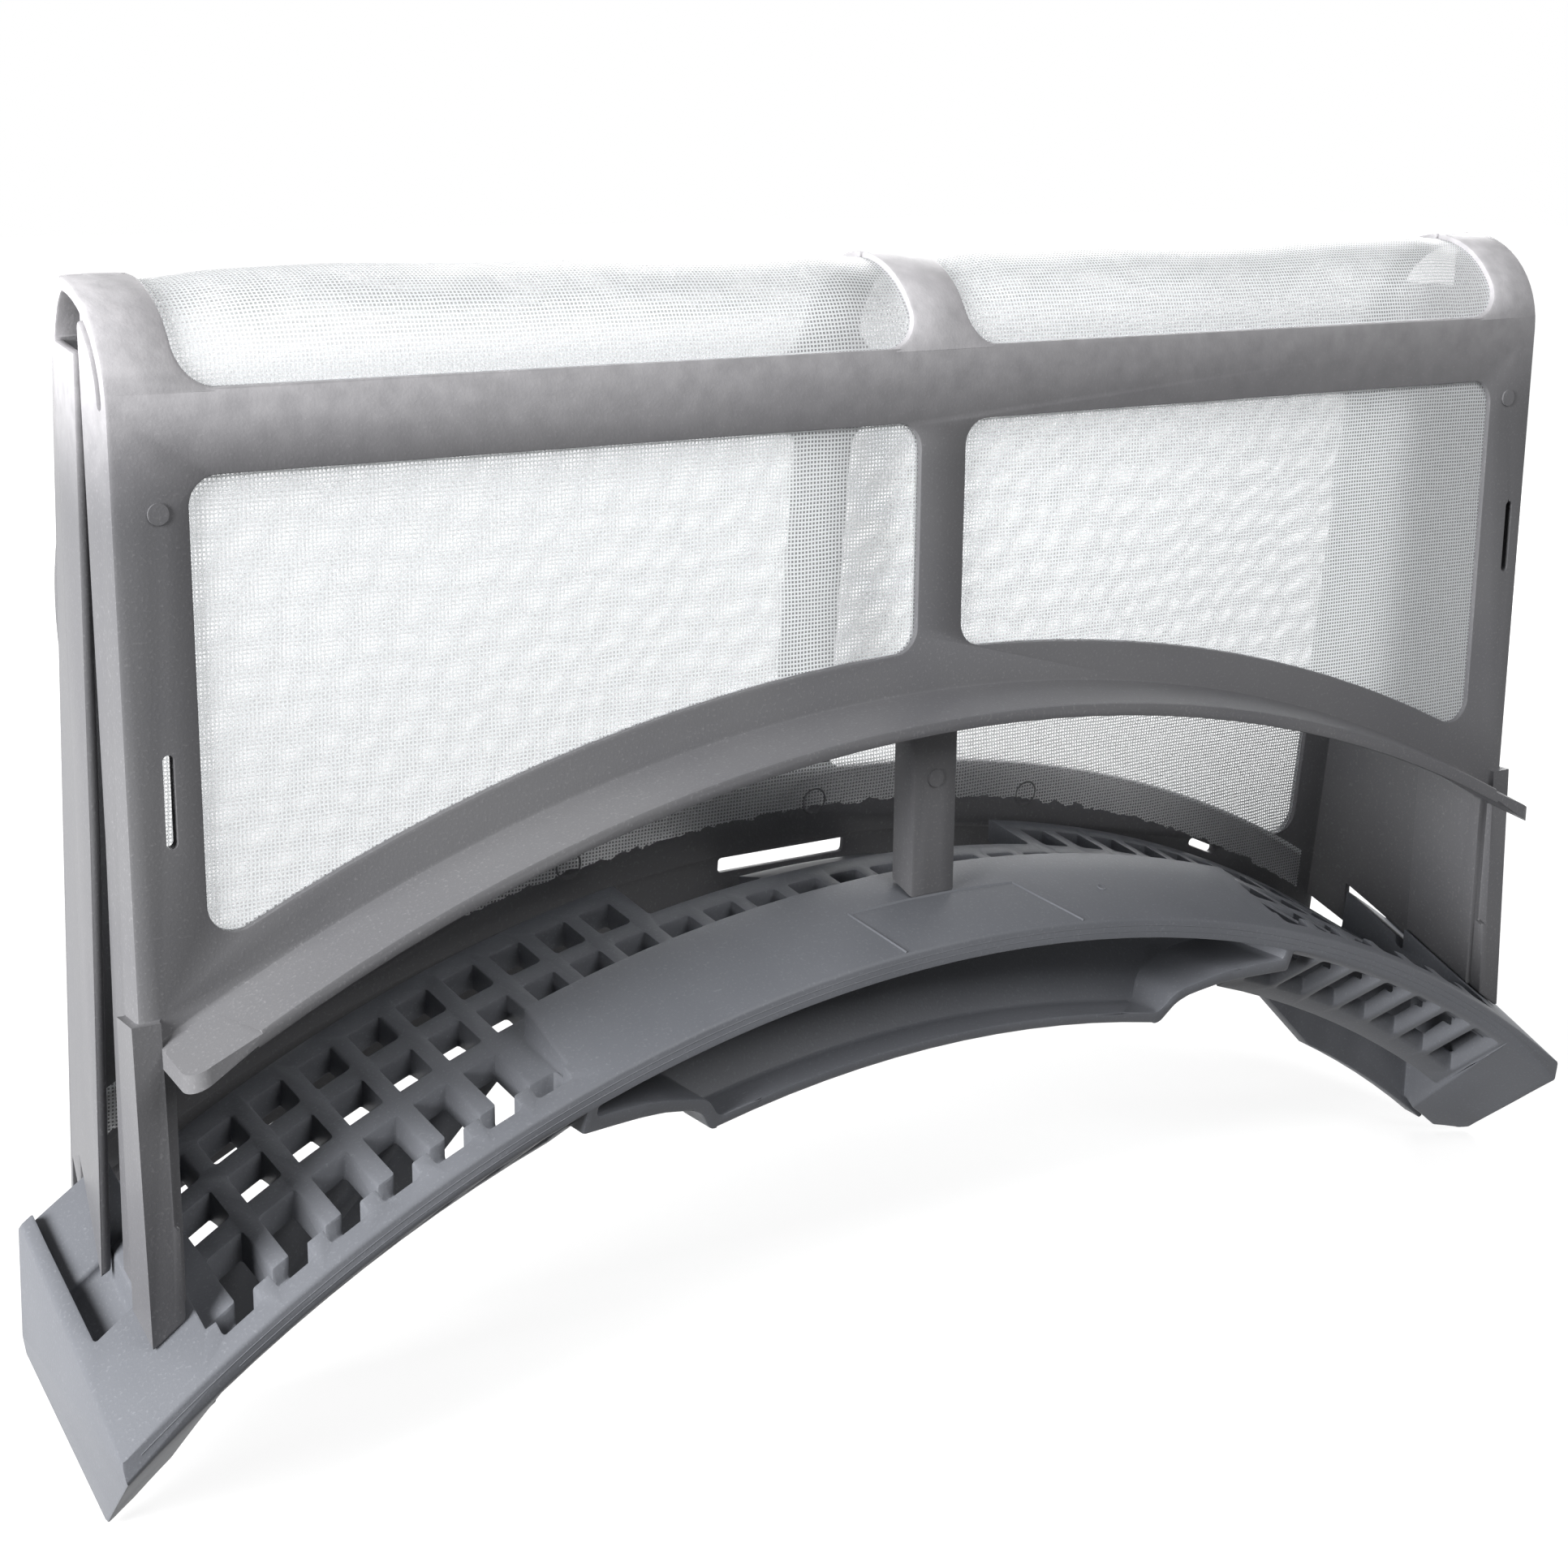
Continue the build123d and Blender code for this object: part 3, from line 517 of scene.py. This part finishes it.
# %% Lay the cloth on its path
COLUMNS, ROWS = 96, 90
bpy.ops.object.select_all(action="DESELECT")
bpy.ops.mesh.primitive_grid_add(x_subdivisions=COLUMNS, y_subdivisions=ROWS, size=2.0)
screen = bpy.context.object
screen.name = screen.data.name = "lint_screen"
cloth_uv = screen.data.uv_layers.new(name="cloth")
border = screen.data.attributes.new("border", "FLOAT", "POINT")
rear_edge = screen.data.attributes.new("rear_edge", "FLOAT", "POINT")
flat_place = {}
for vertex in screen.data.vertices:
    x = vertex.co.x * SCREEN_HALF
    front, rear = screen_reach(x)
    t = (vertex.co.y + 1) / 2
    s = -front + t * (front + rear)
    y, z = screen_point(s, screen_proud(x, s))
    vertex.co = Vector((x, y, z)) * MM
    flat_place[vertex.index] = (x * MM, s * MM)
    border.data[vertex.index].value = min(s + front, rear - s) * MM
    rear_edge.data[vertex.index].value = (rear - s) * MM
for loop in screen.data.loops:
    cloth_uv.data[loop.index].uv = flat_place[loop.vertex_index]
screen.data.uv_layers.active = cloth_uv
screen.data.materials.append(screen_white)
bpy.ops.object.shade_smooth()
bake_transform(screen)
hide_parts("front_mesh", "rear_mesh")

# %% [markdown]
# The small things that a mould leaves on a part are thin: lines, discs and skins. They all start as a
# flat grid whose points one function puts on the surface, and a Solidify modifier then gives the grid a
# thickness that reaches down into the plastic, so that nothing floats.

# %% A helper for thin raised details
def laid_piece(name, columns, rows, place, thickness, material):
    """A thin solid on a surface; place gives each point from the grid's two coordinates, -1 to 1."""
    bpy.ops.object.select_all(action="DESELECT")
    bpy.ops.mesh.primitive_grid_add(x_subdivisions=columns, y_subdivisions=rows, size=2.0)
    piece = bpy.context.object
    piece.name = piece.data.name = name
    for vertex in piece.data.vertices:
        vertex.co = Vector(place(vertex.co.x, vertex.co.y)) * MM
    wall = piece.modifiers.new("wall", "SOLIDIFY")
    wall.thickness = thickness * MM
    wall.offset = -1.0
    bpy.ops.object.modifier_apply(modifier="wall")
    piece.data.materials.append(material)
    bpy.ops.object.shade_smooth_by_angle(angle=radians(40))
    return piece


print("thin details are grids with a wall")

# %% [markdown]
# The leaf opens by bending three straps at the top of the fold, where the plastic is thin and has gone
# white. In the CAD model the straps are cut there for the hinge. A thin skin over each cut follows the
# front leaf on one side, the rear leaf on the other, and curves over the fold between. Its border dips
# into the strap, so no edge of it shows.

# %% Skins over the bending straps
STRAPS = {
    "left_strap_skin": (-125.9, -120.3),
    "centre_strap_skin": (-4.3, 4.3),
    "right_strap_skin": (120.3, 125.9),
}
SKIN_R = FOLD_R + 0.05
SKIN_ANGLE = radians(8)
SKIN_DIP = 0.15
SKIN_WALL = 0.5

for name, (low_x, high_x) in STRAPS.items():
    def on_fold(u, v, middle=(low_x + high_x) / 2, half=(high_x - low_x) / 2):
        """A point on the outside of the fold."""
        angle = v * SKIN_ANGLE
        radius = SKIN_R - SKIN_DIP * ease(max(abs(u), abs(v)), 0.8, 1.0)
        return middle + u * half, FOLD_Y + radius * sin(angle), FOLD_Z + radius * cos(angle)

    skin = laid_piece(name, 8, 32, on_fold, SKIN_WALL, frame_grey)
    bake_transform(skin)
print("skins:", ", ".join(STRAPS))

# %% [markdown]
# Two halves of a mould never meet perfectly, and plastic creeps into the gap. It leaves fine lines
# along the rim's front edge. Each is a long, low ridge that follows the arch: a strip of the grid with
# its middle row lifted.

# %% Parting lines on the rim
RIM_R, RIM_Y, RIM_SLOPE = 223.3, -28.0, 0.339
RIM_LINES = {"rim_parting_line_1": (1.15, 136.0), "rim_parting_line_2": (2.1, 122.0)}
RIM_SINK, RIM_RIDGE, RIM_RIDGE_HALF = 0.08, 0.14, 0.16
LINE_WALL = 0.2

for name, (below, half) in RIM_LINES.items():
    def on_rim(u, v, radius=RIM_R - below, half=half):
        """A point on a fine ridge along the rim's front face."""
        y = RIM_Y + RIM_SINK - RIM_RIDGE * (1 - abs(v))
        return u * half, y, arch_height(radius, u * half) + RIM_RIDGE_HALF * v

    line = laid_piece(name, 120, 2, on_rim, LINE_WALL, base_grey)
    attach(line, "filter")
print("parting lines on the rim:", len(RIM_LINES))

# %% [markdown]
# The middle of the grip was formed by a separate insert in the mould, and its outline shows as three
# fine ridges. The grip's top lies on a cone, whose radius grows towards the rear, so one function gives
# its height at any place.

# %% Lines around the grip's insert
GRIP_LINES = {
    "grip_insert_line_left": ((-12.9, -27.6), (-16.0, -16.5)),
    "grip_insert_line_rear": ((-16.0, -16.5), (16.0, -16.5)),
    "grip_insert_line_right": ((16.0, -16.5), (21.8, -27.6)),
}
GRIP_SINK, GRIP_RIDGE, GRIP_RIDGE_HALF = 0.05, 0.25, 0.24


def cone_height(x, y):
    """Height of the rim and grip at a place, in millimetres."""
    return arch_height(RIM_R + RIM_SLOPE * (y - RIM_Y), x)


for name, (start, end) in GRIP_LINES.items():
    def on_grip(u, v, start=Vector(start), end=Vector(end)):
        """A point on a fine ridge across the grip."""
        along = (end - start).normalized()
        spot = start.lerp(end, (u + 1) / 2) + Vector((-along.y, along.x)) * GRIP_RIDGE_HALF * v
        return spot.x, spot.y, cone_height(spot.x, spot.y) - GRIP_SINK + GRIP_RIDGE * (1 - abs(v))

    line = laid_piece(name, 24, 2, on_grip, LINE_WALL, base_grey)
    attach(line, "filter")
print("lines on the grip:", len(GRIP_LINES))

# %% [markdown]
# Ejector pins push the finished part off the mould, and each leaves a shallow disc. The square grid is
# drawn in to a disc, and a low rim makes the mark show at a slant.

# %% Ejector marks on the rear leaf
DISC_R, DISC_ARCH_R = 2.5, 233.5
DISC_SINK, DISC_HEIGHT, DISC_WALL = 0.02, 0.2, 0.15


def disc_point(u, v, radius):
    """A point of the square grid, drawn in to a disc."""
    return radius * u * sqrt(1 - v * v / 2), radius * v * sqrt(1 - u * u / 2)


def mark_height(across, up, radius, height):
    """Height of an ejector mark: a flat disc with a slightly higher rim."""
    share = sqrt(across**2 + up**2) / radius
    return height * (0.45 + 0.55 * ease(share, 0.72, 0.86)) * ease(-share, -1.0, -0.92)


for side, x in (("left", -44.0), ("middle", 3.0), ("right", 49.0)):
    def on_rear_leaf(u, v, x=x):
        """A point of a mark on the rear leaf's inner face."""
        across, up = disc_point(u, v, DISC_R)
        z = arch_height(DISC_ARCH_R, x) + up
        face_y = rear_face_y(z) - SHEET + DISC_SINK
        return x + across, face_y - mark_height(across, up, DISC_R, DISC_HEIGHT), z

    mark = laid_piece(f"ejector_mark_{side}", 20, 20, on_rear_leaf, DISC_WALL, frame_grey)
    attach(mark, "rear_leaf")
print("ejector marks are", 2 * DISC_R, "mm wide")

# %% [markdown]
# A much thinner pin left one small mark on top of the grip. It is the same disc, laid on the cone.

# %% Pin mark on the grip
PIN_X, PIN_Y, PIN_R = 32.5, -19.3, 0.75
PIN_SINK, PIN_HEIGHT, PIN_WALL = 0.03, 0.22, 0.2


def on_grip_top(u, v):
    """A point of the pin mark on the grip."""
    across, back = disc_point(u, v, PIN_R)
    x, y = PIN_X + across, PIN_Y + back
    return x, y, cone_height(x, y) - PIN_SINK + mark_height(across, back, PIN_R, PIN_HEIGHT)


pin_mark = laid_piece("grip_pin_mark", 12, 12, on_grip_top, PIN_WALL, base_grey)
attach(pin_mark, "filter")
print("pin mark is", 2 * PIN_R, "mm wide")

# %% [markdown]
# Inside the finger scoop, low upright ribs give the fingertips a hold. Each is one rounded ridge on
# the scoop's back wall, so a loop lays them side by side at an even pitch.

# %% Finger ribs in the scoop
RIB_COUNT, RIB_PITCH = 11, 7.2
RIB_HALF, RIB_HEIGHT, RIB_SINK, RIB_SKIN = 1.1, 0.9, 0.1, 0.3
RIB_WALL_Y, RIB_LOW_R, RIB_HIGH_R = -11.0, 215.6, 224.5

for number in range(RIB_COUNT):
    def on_scoop_wall(u, v, x=(number - (RIB_COUNT - 1) / 2) * RIB_PITCH):
        """A point on a rounded rib on the scoop's back wall."""
        radius = RIB_LOW_R + (v + 1) / 2 * (RIB_HIGH_R - RIB_LOW_R)
        swell = sqrt(max(0.0, 1 - u * u)) * ease(1 - abs(v), 0.0, 0.25)
        return x + RIB_HALF * u, RIB_WALL_Y + RIB_SINK - RIB_HEIGHT * swell, arch_height(radius, x)

    rib = laid_piece(f"finger_rib_{number + 1}", 8, 10, on_scoop_wall, RIB_SKIN, base_grey)
    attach(rib, "filter")
print("finger ribs:", RIB_COUNT)

# %% [markdown]
# The studio is a white sweep. A camera, mirror or glass ray sees white paper and a white sky, as in a
# cut-out product picture, while the rays that carry light see a darker room, so that the hollows of
# the part stay dark. Part of the paper's white is lit by the lamps, so it still takes the shadow; far
# from the part it glows fully, and no horizon shows.

# %% White paper on the floor
FLOOR_SIZE, FLOOR_Z = 6.0, -0.0005


def seen_white(tree):
    """One for the rays that show the background, zero for the rays that carry light."""
    rays = add_node(tree, "ShaderNodeLightPath")
    shown = add_node(
        tree, "ShaderNodeMath",
        {0: rays.outputs["Is Camera Ray"], 1: rays.outputs["Is Glossy Ray"]}, operation="MAXIMUM")
    return add_node(
        tree, "ShaderNodeMath",
        {0: shown.outputs["Value"], 1: rays.outputs["Is Transmission Ray"]},
        operation="MAXIMUM").outputs["Value"]


def white_paper():
    """White paper that keeps a shadow near the part."""
    material, tree, output = new_material("white_paper_sweep")
    place = add_node(tree, "ShaderNodeTexCoord").outputs["Object"]
    away = add_node(tree, "ShaderNodeVectorMath", {0: place}, operation="LENGTH")
    glow = add_node(
        tree, "ShaderNodeMapRange",
        {"Value": away.outputs["Value"], "From Min": 0.25, "From Max": 0.7, "To Min": 0.7, "To Max": 1.0},
        interpolation_type="SMOOTHSTEP")
    shine = add_node(tree, "ShaderNodeEmission", {"Strength": glow.outputs["Result"]})
    lit = add_node(tree, "ShaderNodeBsdfDiffuse", {"Color": linear("#A8A8A8")})
    shown = add_node(tree, "ShaderNodeAddShader", {0: shine.outputs["Emission"], 1: lit.outputs["BSDF"]})
    room = add_node(tree, "ShaderNodeBsdfDiffuse", {"Color": linear("#303030")})
    paper = add_node(
        tree, "ShaderNodeMixShader",
        {"Fac": seen_white(tree), 1: room.outputs["BSDF"], 2: shown.outputs["Shader"]})
    tree.links.new(paper.outputs["Shader"], output.inputs["Surface"])
    return material


bpy.ops.object.select_all(action="DESELECT")
bpy.ops.mesh.primitive_plane_add(size=FLOOR_SIZE, location=(0, 0, FLOOR_Z))
floor = bpy.context.object
floor.name = "floor"
bpy.ops.object.transform_apply(location=True, rotation=True, scale=True)
floor.data.materials.append(white_paper())
print("floor:", FLOOR_SIZE, "m wide")

# %% [markdown]
# The sky works in the same way: white where it is seen, and weak where it lights the part.

# %% World
world = bpy.data.worlds.new("white_studio")
scene.world = world
world.use_nodes = True
world.node_tree.nodes.clear()
sky_out = world.node_tree.nodes.new("ShaderNodeOutputWorld")
level = add_node(
    world.node_tree, "ShaderNodeMapRange",
    {"Value": seen_white(world.node_tree), "To Min": 0.06, "To Max": 1.0})
sky = add_node(
    world.node_tree, "ShaderNodeBackground", {"Color": (1, 1, 1, 1), "Strength": level.outputs["Result"]})
world.node_tree.links.new(sky.outputs["Background"], sky_out.inputs["Surface"])
print("world:", world.name)

# %% [markdown]
# The main light stands low on the left, where a window would be: it brightens the end of the part and
# leaves the pocket behind the left wall in shade. A weak lamp high in front fills the faces that the
# camera sees, and another behind on the right shines through the screen and lights the back.

# %% Lamps
def soft_lamp(name, place, target, size, power):
    """A square area lamp at a place, turned towards a target."""
    data = bpy.data.lights.new(name, "AREA")
    data.size = size
    data.energy = power
    lamp = bpy.data.objects.new(name, data)
    lamp.location = place
    lamp.rotation_euler = (Vector(target) - Vector(place)).to_track_quat("-Z", "Y").to_euler()
    scene.collection.objects.link(lamp)


soft_lamp("window_lamp", place=(-0.90, -0.16, 0.30), target=(0, 0, 0.08), size=0.45, power=22.0)
soft_lamp("front_lamp", place=(0.22, -0.72, 0.70), target=(0, 0, 0.10), size=0.45, power=5.0)
soft_lamp("rear_lamp", place=(0.62, 0.66, 0.50), target=(0, 0, 0.06), size=0.5, power=8.0)

# %% [markdown]
# The camera stands where the photographer's stood: about half a metre away, a little to the left and
# above. It was worked out from the straight edges and arcs of the part, so the picture lines up.

# %% Camera
eye = Vector((-0.242549, -0.335610, 0.192959))
ahead = Vector((0.539417, 0.802908, -0.253708)).normalized()
lean = radians(0.62)
camera_data = bpy.data.cameras.new("photo_camera")
camera_data.lens = 61.22
camera_data.sensor_width = 36.0
camera_data.clip_start, camera_data.clip_end = 0.01, 50.0
camera = bpy.data.objects.new("photo_camera", camera_data)
turn = ahead.to_track_quat("-Z", "Y").to_matrix() @ Matrix.Rotation(lean, 3, "Z")
camera.matrix_world = Matrix.Translation(eye) @ turn.to_4x4()
scene.collection.objects.link(camera)
scene.camera = camera
scene.view_settings.view_transform = "Standard"
print("camera looks along", [round(v, 3) for v in ahead])
